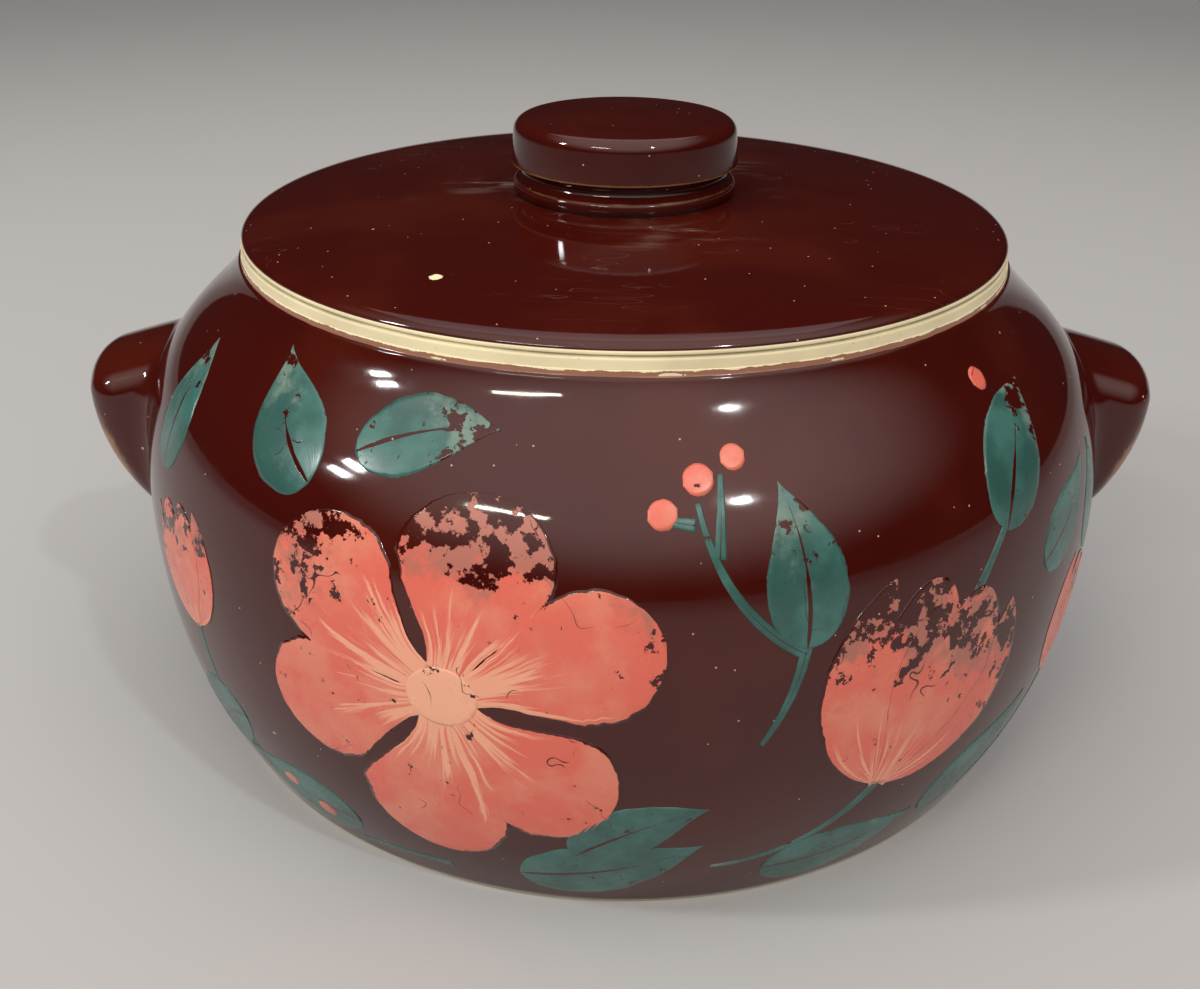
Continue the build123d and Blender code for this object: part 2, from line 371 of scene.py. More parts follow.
def inside_wall(pot):
    """The inside from the throat down the wall and across the floor to the middle."""
    mouth = pot.rim_radius - pot.rim_width
    upper, lower = wall_curves(pot, pot.wall)
    neck = upper[round(pot.throat_join * (len(upper) - 1)):]
    throat_foot = at(mouth, pot.rim_height - pot.throat_depth)
    throat = rounded(throat_foot + at(0, 1), throat_foot, neck[0], pot.throat_rounding)
    wall_foot = [point for point in lower if point.y > pot.floor]
    lean = wall_foot[-1] - wall_foot[-3]
    corner = wall_foot[-1] + lean * (wall_foot[-1].y - pot.floor) / -lean.y
    cove = rounded(corner - lean, corner, at(0, pot.floor), pot.floor_rounding, count=12)
    wall = [point for point in lower if point.y > cove[0].y + MM]
    return joined(throat, neck, wall[1:], cove, at(0, pot.floor))


LidRadii = namedtuple("LidRadii", "edge dome flange bore")


def lid_radii(pot, lid):
    """Radii of the upright edge, of the dome where the rolled edge starts, of the flange and its bore."""
    edge = pot.rim_radius - lid.setback
    flange = pot.rim_radius - pot.rim_width - lid.clearance
    return LidRadii(edge, edge - lid.roll_width, flange, flange - lid.flange_width)


def dome_height(pot, lid, radius, depth=0.0):
    """Height of the lid's dome at a radius, or of a face parallel to it at a depth below."""
    rise = lid.crown_height - lid.roll_height
    sphere = (lid_radii(pot, lid).dome ** 2 + rise**2) / (2 * rise)
    return pot.rim_height + lid.crown_height - sphere + sqrt((sphere - depth) ** 2 - radius**2)


def dome_points(pot, lid, radius, depth=0.0, count=30):
    """The dome from the middle out to a radius."""
    steps = [radius * step / count for step in range(count + 1)]
    return [at(step, dome_height(pot, lid, step, depth)) for step in steps]


def lid_top(pot, lid):
    """The top of the lid: the dome, and its rolled edge over and down to the bare upright edge."""
    radii = lid_radii(pot, lid)
    dome = dome_points(pot, lid, radii.dome)
    inward = at(radii.dome - MM, dome_height(pot, lid, radii.dome - MM))
    bare_edge = at(radii.edge, pot.rim_height + lid.edge_height)
    along_dome = (dome[-1] - inward).normalized() * lid.roll_pull * lid.roll_width
    up_the_edge = at(0, lid.roll_pull * (lid.roll_height - lid.edge_height))
    roll = curve_points(dome[-1], dome[-1] + along_dome, bare_edge + up_the_edge, bare_edge, count=22)
    return dome + roll[1:]


# ---- Modelling ----


def settings():
    return bpy.context.scene.bean_pot


def deselect_all():
    """Nothing is selected, so an operator acts only on what comes next."""
    if bpy.context.mode != "OBJECT":
        bpy.ops.object.mode_set(mode="OBJECT")
    bpy.ops.object.select_all(action="DESELECT")


def make_active(piece):
    deselect_all()
    piece.select_set(True)
    bpy.context.view_layer.objects.active = piece


def edit_all(*steps):
    """Takes steps in edit mode, each with the whole of the active piece selected."""
    bpy.ops.object.mode_set(mode="EDIT")
    for step in steps:
        bpy.ops.mesh.select_all(action="SELECT")
        step()
    bpy.ops.object.mode_set(mode="OBJECT")


def merge_doubles():
    bpy.ops.mesh.remove_doubles(threshold=MERGE)


def modify(piece, kind, **values):
    """Gives the active piece a modifier with these values, and applies it."""
    bpy.ops.object.modifier_add(type=kind)
    modifier = piece.modifiers[-1]
    for name, value in values.items():
        setattr(modifier, name, value)
    bpy.ops.object.modifier_apply(modifier=modifier.name)


def turned(name, outline, steps=TURNED_STEPS):
    """Turns an outline about the pot's axis into a closed piece."""
    deselect_all()
    bpy.ops.mesh.primitive_circle_add(vertices=len(outline), radius=1)
    piece = bpy.context.object
    piece.name = piece.data.name = name
    for vertex, point in zip(piece.data.vertices, outline):
        vertex.co = (max(point.x, 0), 0, point.y)
    modify(piece, "SCREW", axis="Z", angle=tau, steps=steps, render_steps=steps)
    edit_all(
        merge_doubles,
        lambda: bpy.ops.mesh.delete_loose(use_verts=True, use_edges=True, use_faces=False),
        lambda: bpy.ops.mesh.normals_make_consistent(inside=False),
    )
    bpy.ops.object.shade_smooth()
    return piece


def coated(name, outline, lift, depth=-EMBEDDED, steps=TURNED_STEPS):
    """Turns a coat of glaze: its face, at a lift from an outline, and its back, at a depth in the clay."""
    return turned(name, raised(outline, lift) + raised(outline, depth)[::-1], steps)


def mark(piece, name, values):
    """Stores a number on each point of a piece, for its material to read. Values may be a function."""
    if callable(values):
        values = [values(vertex.co) for vertex in piece.data.vertices]
    piece.data.attributes.new(name, "FLOAT", "POINT").data.foreach_set("value", values)


def ring_wave(point, size, seed):
    """A smooth random wave round the pot's axis, from -1 to 1, with swells of about this size."""
    around = Vector((point.x, point.y, 0))
    return noise.noise(around / size + Vector((0, 0, seed)))


def near_ring(point, radius, height, reach):
    """1 on a ring round the pot's axis, and 0 from a reach away from it."""
    distance = hypot(hypot(point.x, point.y) - radius, point.z - height)
    return 1 - smooth_step(distance, 0, reach)


def finish_piece(piece, body, slot, finish, *nodes):
    """Gives a piece its finish and its body, and hides the frame nodes that it stands for."""
    piece.data.materials.clear()
    piece.data.materials.append(finished(finish))
    if nodes:
        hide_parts(*nodes)
    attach(piece, body)


# ---- Materials ----


class Level:
    """A number that varies over a surface. Arithmetic with it adds Math nodes."""

    def __init__(self, look, socket):
        self.look, self.socket = look, socket

    def maths(self, operation, *others):
        return self.look.level("ShaderNodeMath", dict(enumerate((self, *others))), operation=operation)

    def __add__(self, other):
        return self.maths("ADD", other)

    def __sub__(self, other):
        return self.maths("SUBTRACT", other)

    def __rsub__(self, other):
        return self.look.level("ShaderNodeMath", {0: other, 1: self}, operation="SUBTRACT")

    def __mul__(self, other):
        return self.maths("MULTIPLY", other)

    def __abs__(self):
        return self.maths("ABSOLUTE")

    def below(self, limit):
        """1 where the number is less than a limit, and 0 elsewhere."""
        return self.maths("LESS_THAN", limit)

    def or_more(self, other):
        return self.maths("MAXIMUM", other)

    def ramp(self, low, high, to_low=0.0, to_high=1.0):
        """A smooth change from one number to another as this one goes from low to high."""
        inputs = {"Value": self, "From Min": low, "From Max": high, "To Min": to_low, "To Max": to_high}
        return self.look.level("ShaderNodeMapRange", inputs, interpolation_type="SMOOTHSTEP")


class Look:
    """The nodes of one finish, with short ways to add its patterns."""

    def __init__(self, tree):
        self.tree = tree

    def fill(self, sockets, values):
        """Links sockets to levels and other sockets, or sets them to numbers and colours."""
        for name, value in values.items():
            value = getattr(value, "socket", value)
            if isinstance(value, bpy.types.NodeSocket):
                self.tree.links.new(value, sockets[name])
            else:
                sockets[name].default_value = value

    def add(self, kind, inputs=None, **values):
        """Adds a node, fills its sockets and returns its outputs."""
        node = self.tree.nodes.new(kind)
        for name, value in values.items():
            setattr(node, name, value)
        self.fill(node.inputs, inputs or {})
        return node.outputs

    def level(self, kind, inputs=None, output=0, **values):
        return Level(self, self.add(kind, inputs, **values)[output])

    def place(self):
        """The place on the piece that patterns read."""
        return self.add("ShaderNodeTexCoord")["Object"]

    def marked(self, name):
        """The number that is stored on the piece's points."""
        return self.level("ShaderNodeAttribute", output="Fac", attribute_name=name)

    def noise(self, place, scale, detail=2.0, roughness=0.5):
        inputs = {"Vector": place, "Scale": scale, "Detail": detail, "Roughness": roughness}
        return self.level("ShaderNodeTexNoise", inputs)

    def vector(self, operation, *inputs):
        return self.add("ShaderNodeVectorMath", dict(enumerate(inputs)), operation=operation)[0]

    def distance(self, vector, operation="LENGTH", other=(0, 0, 0)):
        return self.level("ShaderNodeVectorMath", {0: vector, 1: other}, "Value", operation=operation)

    def mapped(self, place, turn, scale):
        return self.add("ShaderNodeMapping", {"Vector": place, "Rotation": turn, "Scale": scale})[0]

    def blend(self, factor, first, second):
        """A mix of two colours, all second where the factor is 1."""
        return self.add("ShaderNodeMix", {"Factor": factor, 6: first, 7: second}, data_type="RGBA")[2]

    def bump(self, height, depth, surface=None, strength=1.0):
        """Relief of a depth, on top of another relief if one is given."""
        inputs = {"Height": height, "Distance": depth, "Strength": strength}
        return self.add("ShaderNodeBump", inputs | ({"Normal": surface} if surface else {}))[0]

    def specks(self, place, spacing, size, kept):
        """Small round grains: 1 on a grain. Only a share of the places has one."""
        cells = self.add("ShaderNodeTexVoronoi", {"Vector": place, "Scale": 1 / spacing})
        chance = self.level("ShaderNodeSeparateColor", {0: cells["Color"]})
        return Level(self, cells["Distance"]).below(size / spacing) * chance.below(kept)


# Grit: the spacing and size of its grains, and the share of them that shows
FINE_GRIT = (3.6 * MM, 0.19 * MM, 0.50)
COARSE_GRIT = (15.0 * MM, 0.45 * MM, 0.45)
CLAY_GRIT = (1.6 * MM, 0.18 * MM, 0.35)


def glaze_look(look, place):
    """Colour, roughness and surface of the dark glaze."""
    finish = settings().glaze
    body = look.blend(look.noise(place, 28, 3).ramp(0.42, 0.68), finish.deep, finish.warm)
    grit = look.specks(place, *FINE_GRIT) + look.specks(place, *COARSE_GRIT)
    body = look.blend(grit.maths("MINIMUM", 1.0), body, finish.speck)
    roughness = look.noise(place, 45, 5, 0.6).ramp(0.40, 0.75, 0.045, 0.13)
    swells = look.bump(look.noise(place, 34, 1), 0.16 * MM, strength=0.5)
    return body, roughness, look.bump(look.noise(place, 420, 2), 0.006 * MM, swells)


def rubbed(look, place):
    """Dry film and fine marks on the lid round the knob, and a chip: how much of each shows."""
    flat = look.vector("MULTIPLY", place, (1, 1, 0))
    reach = look.distance(flat)
    near_knob = reach.ramp(20 * MM, 27 * MM) * reach.ramp(30 * MM, 52 * MM, 1.0, 0.0)
    wiped = look.mapped(place, (0, 0, 0.35), (0.22, 1, 1))
    film = look.noise(wiped, 210, 6, 0.7).ramp(0.46, 0.66, 0.0, 0.75)
    cloud = look.noise(place, 38, 2).ramp(0.48, 0.62)
    hairs = abs(look.noise(wiped, 130, 2) - 0.5).ramp(0.0008, 0.0025, 0.22, 0.0) * cloud
    dust = (film * (near_knob * cloud)).or_more(hairs)
    to_chip = look.vector("MULTIPLY", look.vector("SUBTRACT", flat, CHIP_PLACE), (1, 1.25, 1))
    ragged = look.noise(place, 620, 3) * (2.4 * MM) + look.distance(to_chip)
    return dust, ragged.ramp(2.65 * MM, 2.80 * MM, 1.0, 0.0)


def glaze_pattern(look, worn=False):
    """Dark red-brown glossy glaze. It breaks to amber where the piece says that it is thin."""
    finish, place = settings().glaze, look.place()
    body, roughness, surface = glaze_look(look, place)
    mottle = look.noise(place, 240, 4, 0.6)
    thin = look.marked("thin") + mottle * 0.7 - 0.35
    body = look.blend(thin.ramp(0.42, 0.85), body, finish.amber)
    film = look.marked("film") + mottle * 0.5 - 0.25
    body = look.blend(film.ramp(0.42, 0.58), body, finish.film_colour)
    notches = look.noise(place, 560, 4, 0.7) * 1.6 + mottle * 2.0 - 1.8
    edge = look.marked("edge")
    bare = (notches * edge.ramp(0.0, 0.25) + edge).ramp(0.45, 0.52)
    body = look.blend(bare, body, finish.clay)
    if worn:
        dust, chip = rubbed(look, place)
        body = look.blend(chip, look.blend(dust, body, finish.dust), finish.clay)
        roughness = roughness.or_more(dust * 0.6)
        bare = bare.or_more(chip)
        surface = look.bump(1.0 - chip, 0.25 * MM, surface)
    return {"Base Color": body, "Roughness": roughness.or_more(bare * 0.7), "Normal": surface}


def clay_pattern(look):
    """Bare buff stoneware: matt, sandy and specked, with painted shade in the joint under the lid's edge."""
    finish, place = settings().glaze, look.place()
    body = look.blend(look.noise(place, 55, 4).ramp(0.3, 0.75, 0.0, 0.35), finish.clay, finish.clay_dust)
    body = look.blend(look.specks(place, *CLAY_GRIT) * 0.55, body, finish.clay_dust)
    patchy = look.noise(place, 90, 3).ramp(0.30, 0.60, 0.55, 0.95)
    # Painted shade in the joint under the lid's edge, made patchy.
    body = look.blend(look.marked("joint_shade") * patchy, body, finish.joint_shade)
    sand = look.bump(look.noise(place, 1500, 3), 0.03 * MM, strength=0.6)
    return {"Base Color": body, "Roughness": 0.62, "Normal": sand}


def paint_loss(look, place, wear_and_sheen):
    """Where the paint has gone: 1 on flakes and in scratches. More wear, more flakes."""
    flakes = (look.noise(place, 230, 7, 0.66) - wear_and_sheen.ramp(0.0, 1.0, 0.650, 0.475)).ramp(0.0, 0.008)
    drawn_out = look.mapped(place, (0.4, 0.9, 0.5), (1, 0.16, 1))
    hair = abs(look.noise(drawn_out, 75, 2) - 0.5).ramp(0.0015, 0.0035, 1.0, 0.0)
    return flakes.or_more(hair * look.noise(place, 62, 1).ramp(0.60, 0.64))


def paint_pattern(look, *colours, vein=False):
    """Brushed paint over the glaze: streaks along the stroke, worn patches and dark flakes. The worn patches
    also paint a sheen that greys the paint on the upper strokes.

    The colours are names of settings: for full and thin paint, for its streaks and where it is worn and
    greyed by painted sheen.
    """
    main, light, streak_colour, worn_and_sheen_colour = (getattr(settings().paint, name) for name in colours)
    place = look.place()
    glaze_body, glaze_roughness, surface = glaze_look(look, place)
    stroke_place = look.add("ShaderNodeSeparateXYZ", {0: look.add("ShaderNodeUVMap", uv_map="UVMap")["UV"]})
    across, along = Level(look, stroke_place[0]), Level(look, stroke_place[1])
    seed, wear_and_sheen = look.marked("seed"), look.marked("wear_and_sheen")
    bristles = look.add("ShaderNodeCombineXYZ", {0: across * 13.0 + seed, 1: along * 1.3, 2: seed})[0]
    fine = look.noise(look.vector("MULTIPLY", bristles, (5, 2, 1)), 1, 2)
    body = look.blend(look.noise(place, 70, 4, 0.6).ramp(0.40, 0.66), main, light)
    streaks = look.noise(bristles, 1, 3, 0.6) * 1.15 - 0.40 + (look.marked("streaks") - along * 0.62)
    body = look.blend(streaks.ramp(0.44, 0.56, 0.0, 0.85), body, streak_colour)
    # Worn patches: real wear, and a painted sheen that greys the paint more on the upper strokes.
    worn_sheen_patch = look.noise(place, 120, 5, 0.65) + wear_and_sheen * 0.42
    body = look.blend(worn_sheen_patch.ramp(0.66, 0.86, 0.0, 0.9), body, worn_and_sheen_colour)
    gone = paint_loss(look, place, wear_and_sheen)
    from_middle = abs(across - 0.5)
    if vein:
        wobble = look.noise(place, 160, 2) * 0.05 - 0.025
        width = along.ramp(0.0, 0.85, 0.034, 0.0)
        gone = gone.or_more((width - (from_middle + wobble)).ramp(-0.006, 0.004))
    margin = look.noise(place, 260, 3) * 0.030 + look.marked("margin")
    gone = gone.or_more((margin - (0.5 - from_middle)).ramp(-0.002, 0.004))
    satin = worn_sheen_patch.ramp(0.5, 0.9, 0.24, 0.42)
    relief = (1.0 - gone) * (fine * 0.35 + 0.65)
    return {
        "Base Color": look.blend(gone, body, glaze_body),
        "Roughness": look.level("ShaderNodeMix", {0: gone, 2: satin, 3: glaze_roughness}, data_type="FLOAT"),
        "Normal": look.bump(relief, 0.05 * MM, surface),
    }


def floor_pattern(look):
    """Plain pale table that darkens away from the pot."""
    studio = settings().studio
    fade = look.distance(look.place()).ramp(*FLOOR_FADE)
    return {"Base Color": look.blend(fade, studio.floor_colour, studio.far_floor), "Roughness": 0.8}


FINISHES = {
    "dark_glaze": glaze_pattern,
    "lid_glaze": lambda look: glaze_pattern(look, worn=True),
    "bare_clay": clay_pattern,
    "petal_paint": lambda look: paint_pattern(look, "coral", "light_coral", "pale", "worn_sheen_coral"),
    "centre_paint": lambda look: paint_pattern(look, "pale", "pale", "pale", "coral"),
    "leaf_paint": lambda look: paint_pattern(
        look, "teal", "light_teal", "light_teal", "worn_sheen_teal", vein=True
    ),
    "studio_floor": floor_pattern,
}


def finished(name):
    """The material of a finish, made when it is first asked for."""
    material = bpy.data.materials.get(name)
    if not material:
        material = bpy.data.materials.new(name)
        material.use_nodes = True
        look = Look(material.node_tree)
        look.tree.nodes.clear()
        shader = look.tree.nodes.new("ShaderNodeBsdfPrincipled")
        look.add("ShaderNodeOutputMaterial", {"Surface": shader.outputs[0]})
        look.fill(shader.inputs, FINISHES[name](look))
    return material


# ---- Pieces ----


def lid_joint_painted_shade(point):
    """How much painted shade darkens the clay: 1 in the joint where the lid's edge stands on the rim."""
    pot, lid = settings().pot, settings().lid
    return near_ring(point, lid_radii(pot, lid).edge, pot.rim_height, JOINT_SHADE_REACH)


class BEANPOT_OT_pot_clay(bpy.types.Operator):
    """Turn the pot in bare clay, a coat's depth inside its glazed faces"""

    bl_idname = "bean_pot.pot_clay"
    bl_label = "Pot clay"

    def execute(self, context):
        pot, finish = settings().pot, settings().glaze
        mouth = pot.rim_radius - pot.rim_width
        rim_outer, rim_inner = at(pot.rim_radius, pot.rim_height), at(mouth, pot.rim_height)

        def sunk(from_collar, from_table):
            below_collar = smooth_step(from_collar, 0, finish.film)
            above_table = smooth_step(from_table, pot.foot_rounding, 2 * pot.foot_rounding)
            return -finish.coat * min(below_collar, above_table)

        inner = raised(inside_wall(pot), lambda from_top, _: finish.coat * smooth_step(from_top, 0, MM))
        ring = pot.foot_radius - pot.foot_ring_width
        outline = joined(
            inner[::-1],
            rounded(at(mouth, 0), rim_inner, rim_outer, pot.rim_rounding),
            rounded(rim_inner, rim_outer, at(pot.rim_radius, 0), pot.rim_rounding),
            at(pot.rim_radius, neck_height(pot)),
            raised(outside_wall(pot), sunk)[1:],
            at(ring, 0),
            at(ring, pot.foot_recess),
            at(0, pot.foot_recess),
        )
        piece = turned("pot_clay", outline)
        # Painted shade in the joint where the lid's edge stands on the rim.
        mark(piece, "joint_shade", lid_joint_painted_shade)
        finish_piece(piece, "pot", "bare_clay", "bare_clay", "pot_body")
        return {"FINISHED"}


class BEANPOT_OT_pot_glaze(bpy.types.Operator):
    """Coat the outside of the pot and, below the throat, its inside"""

    bl_idname = "bean_pot.pot_glaze"
    bl_label = "Pot glaze"

    def execute(self, context):
        pot, coat, film = settings().pot, settings().glaze.coat, settings().glaze.film
        ridge, flare, top = settings().glaze.ridge, pot.neck_angle, neck_height(pot)
        wall = [point for point in outside_wall(pot, count=60) if point.y > TABLE_GAP]
        down = (wall[1] - wall[0]).normalized()
        start = [wall[0] + down * run * MM for run in FILM_POINTS]
        wall = start + [point for point in wall if point.y < start[-1].y - 0.4 * MM]

        def after_film(run, reach):
            return smooth_step(run, film + reach[0], film + reach[1])

        def height(run, from_table):
            clay = -coat * smooth_step(run, 0, film)
            thin = clay + FILM_THICKNESS * smooth_step(run, *FILM_START) - FILM_ROOT
            fat = ridge * (1 - after_film(run, RIDGE_END))
            full = after_film(run, COAT_START)
            to_foot = coat * (1 - smooth_step(from_table, 0, COAT_END))
            return thin * (1 - full) + fat * full - to_foot

        def down_neck(co):
            return (top - co.z) / cos(flare)

        piece = coated("pot_glaze", wall, height, steps=COAT_STEPS)
        for vertex in piece.data.vertices:
            co = vertex.co
            near_top = 1 - smooth_step(top - co.z, *WAVY)
            if near_top > 0:
                wave = sum(rise * ring_wave(co, swell, seed) for rise, swell, seed in EDGE_WAVES)
                inward = Vector((-co.x, -co.y, 0)).normalized() * sin(flare)
                vertex.co += (inward + Vector((0, 0, cos(flare)))) * (wave * near_top * MM)
        mark(piece, "film", lambda co: 1 - after_film(down_neck(co), FILM_FADE))
        mark(piece, "edge", lambda co: 1 - smooth_step(down_neck(co), 0, NOTCHED))
        finish_piece(piece, "pot", "glaze", "dark_glaze")

        lining = inside_wall(pot)
        lined = coated("pot_inner_glaze", lining,
                       lambda from_top, _: coat * (1 - smooth_step(from_top, *LINING_START)), EMBEDDED)
        mark(lined, "edge", lambda co: 1 - smooth_step(lining[0].y - co.z, 0, LINING_NOTCHED))
        finish_piece(lined, "pot", "glaze", "dark_glaze")
        return {"FINISHED"}


class BEANPOT_OT_lugs(bpy.types.Operator):
    """Glaze the two lug handles, with the edges where the glaze runs thin marked"""

    bl_idname = "bean_pot.lugs"
    bl_label = "Lug handles"

    def execute(self, context):
        belly = settings().pot.belly_radius
        for name in ("left_lug", "right_lug"):
            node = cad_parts[name]
            low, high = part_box(name)
            tip, rise = max(abs(low.x), abs(high.x)), high.z - low.z
            piece = bpy.data.objects.new(name + "_glaze", node.data.copy())
            bpy.context.scene.collection.objects.link(piece)
            make_active(piece)
            edit_all(merge_doubles, lambda: bpy.ops.mesh.subdivide(number_cuts=2))
            bpy.ops.object.shade_smooth()
            thin = []
            for vertex in piece.data.vertices:
                sideways = vertex.normal.y ** 2
                corner = 4 * sideways * (1 - sideways)  # 1 on an edge between a side and the end
                out = smooth_step(hypot(vertex.co.x, vertex.co.y), belly + LUG_ENDS, tip - LUG_ENDS)
                below = 1 - smooth_step(vertex.co.z, *(low.z + part * rise for part in LUG_THIN_RISE))
                root = LUG_THIN_ROOT + (1 - LUG_THIN_ROOT) * out
                thin.append(min(1, (LUG_THIN + LUG_THIN_EDGE * corner) * below * root))
            mark(piece, "thin", thin)
            modify(piece, "DATA_TRANSFER", object=node, use_loop_data=True,
                   data_types_loops={"CUSTOM_NORMAL"}, loop_mapping="POLYINTERP_LNORPROJ")
            finish_piece(piece, "pot", "glaze", "dark_glaze", name)
        return {"FINISHED"}


class BEANPOT_OT_lid_clay(bpy.types.Operator):
    """Turn the lid in bare clay, with its seat and its locating flange"""

    bl_idname = "bean_pot.lid_clay"
    bl_label = "Lid clay"

    def execute(self, context):
        pot, lid, coat = settings().pot, settings().lid, settings().glaze.coat
        radii, top = lid_radii(pot, lid), lid_top(pot, lid)
        sunk = raised(top, lambda _, from_edge: -coat * smooth_step(from_edge, 0, LID_COAT_END))
        under = dome_points(pot, lid, radii.bore, lid.thickness)
        ceiling = raised(under, lambda _, from_flange: coat * smooth_step(from_flange, 0, MM))
        flange_foot = pot.rim_height - lid.flange_depth
        seat_edge, seat_end = at(radii.edge, pot.rim_height), at(radii.flange, pot.rim_height)
        outer_foot, inner_foot = at(radii.flange, flange_foot), at(radii.bore, flange_foot)
        outline = joined(
            sunk,
            rounded(top[-1], seat_edge, seat_end, lid.edge_rounding, count=4),
            seat_end,
            rounded(seat_end, outer_foot, inner_foot, lid.flange_rounding),
            rounded(outer_foot, inner_foot, under[-1], lid.flange_rounding),
            ceiling[::-1],
        )
        piece = turned("lid_clay", outline)
        # Painted shade in the joint where the lid's edge stands on the rim.
        mark(piece, "joint_shade", lid_joint_painted_shade)
        finish_piece(piece, "lid", "bare_clay", "bare_clay", "lid")
        return {"FINISHED"}


class BEANPOT_OT_lid_glaze(bpy.types.Operator):
    """Coat the top of the lid down to its bare edge, and the underside within the flange"""

    bl_idname = "bean_pot.lid_glaze"
    bl_label = "Lid glaze"

    def execute(self, context):
        pot, lid, coat = settings().pot, settings().lid, settings().glaze.coat
        radii, top = lid_radii(pot, lid), lid_top(pot, lid)
        piece = coated("lid_glaze", top,
                       lambda _, from_edge: -coat * (1 - smooth_step(from_edge, 0, LID_COAT_END)))
        mark(piece, "thin", lambda co: near_ring(co, radii.edge, top[-1].y, LID_COAT_END))
        finish_piece(piece, "lid", "glaze", "lid_glaze")

        under = dome_points(pot, lid, radii.bore - 0.3 * MM, lid.thickness)
        finish_piece(coated("lid_under_glaze", under, 0, EMBEDDED), "lid", "glaze", "dark_glaze")
        return {"FINISHED"}


class BEANPOT_OT_knob(bpy.types.Operator):
    """Turn the knob: a bead, a finger groove and a broad cap, glazed all over"""

    bl_idname = "bean_pot.knob"
    bl_label = "Knob"

    def execute(self, context):
        pot, lid, knob = settings().pot, settings().lid, settings().knob
        foot = dome_height(pot, lid, knob.foot_radius)
        bead_top = foot + knob.foot_height
        cap_bottom = bead_top + knob.groove_height
        cap_top = cap_bottom + knob.side_height
        top_radius = knob.cap_radius - knob.side_height * tan(knob.lean)
        bead_edge, ledge_end = at(knob.foot_radius, bead_top), at(knob.foot_radius - knob.ledge, bead_top)
        lip, shoulder = at(knob.cap_radius, cap_bottom), at(top_radius, cap_top)
        groove_bottom = at(knob.foot_radius - knob.groove_depth, bead_top + knob.groove_height / 2)
        groove = arc_through(ledge_end, groove_bottom, lip, count=22)
        groove = [point for point in groove if (point - lip).length > 0.5 * MM]
        crown = (top_radius**2 + knob.crown**2) / (2 * knob.crown)  # radius of the crowned top's sphere
        near_shoulder = at(top_radius - MM, cap_top + MM * top_radius / crown)
        shoulder_arc = rounded(lip, shoulder, near_shoulder, knob.cap_rounding, count=12)
        top = [
            at(radius, cap_top + knob.crown - crown + sqrt(crown**2 - radius**2))
            for radius in [shoulder_arc[-1].x * step / 14 for step in range(13, -1, -1)]
        ]
        outline = joined(
            dome_points(pot, lid, knob.foot_radius, count=6),
            rounded(at(knob.foot_radius, foot), bead_edge, ledge_end, knob.bead_rounding),
            groove,
            rounded(groove[-1], lip, shoulder, knob.lip_rounding, count=5),
            shoulder_arc,
            top,
        )
        # Where the glaze is thin: how thin, and a ring's radius, height and reach
        rings = (
            (1.2, (knob.cap_radius, cap_bottom + 0.25 * MM, 1.1 * MM)),
            (0.66, (knob.foot_radius - 0.3 * MM, bead_top, 1.0 * MM)),
            (0.34, (knob.cap_radius, cap_bottom + 0.6 * knob.side_height, 0.6 * knob.side_height)),
        )
        piece = turned("knob_glaze", outline)
        mark(piece, "thin", lambda co: max(thin * near_ring(co, *ring) for thin, ring in rings))
        finish_piece(piece, "lid", "glaze", "dark_glaze", "lid_knob")
        return {"FINISHED"}


# ---- Painted decoration ----

# Places on the wall are (around, up): millimetres round the widest turn from the middle of the front, to the
# right, and up the wall from the widest turn. Headings are anticlockwise from rightwards.

STROKE_CELL = 0.8 * MM  # spacing of the points on a brush stroke
STROKE_DEPTH = 0.25 * MM  # thickness of a stroke, most of it in the glaze
STROKE_WAVER = ((0.05, 9), (0.03, 40))  # how far a stroke's edges waver, and how often along it
STROKE_EDGE = 0.14  # share of a stroke's half width over which it rises to its full height
STROKE_EDGE_HEIGHT = 0.25  # share of its height that it has at its edge
WEAR_AND_SHEEN_FROM = 0.25  # wear and painted sheen start this far along a stroke
WEAR_AND_SHEEN_RISE = 1.25
STEM_WIDTH = 2.4  # mm
BERRY_HEADING = 20
BERRY_SHAPE = 0.92  # width across of a berry, as a share of its length
BLOSSOM_CENTRE = (-34, 2)
BLOSSOM_DISC = (14, 13)  # length and width of the blossom's centre
BLOSSOM_HEADING = 80  # of its first petal
BLOSSOM_BENDS = (14, -20, 12, -14, 18, -12)  # one petal each
BLOSSOM_WEAR_AND_SHEEN = 0.95  # of a petal that heads straight up: wear where fingers rub it most, and a painted sheen that greys the upper petals
PETAL_START = 5  # mm from the blossom's centre to the foot of a petal
BUD_PETALS = (  # turn from the bud's heading, bend, length, width, layer
    (58, -72, 50, 17, 0), (-58, 72, 48, 17, 0), (24, -34, 46, 19, 1), (-24, 34, 45, 19, 2), (2, 5, 41, 18, 3),
)
BUDS = (  # foot, heading, scale, wear and painted sheen
    ((52, -24), 70, 1.0, 0.75), ((-102, -8), 108, 0.60, 0.6), ((112, -24), 62, 0.62, 0.4),
)
BERRIES = (  # left end, width
    ((10, 44), 6.5), ((18, 48), 5.5), ((3, 38), 6), ((-74, -46), 6), ((-83, -41), 5), ((88, 52), 5.5),
)
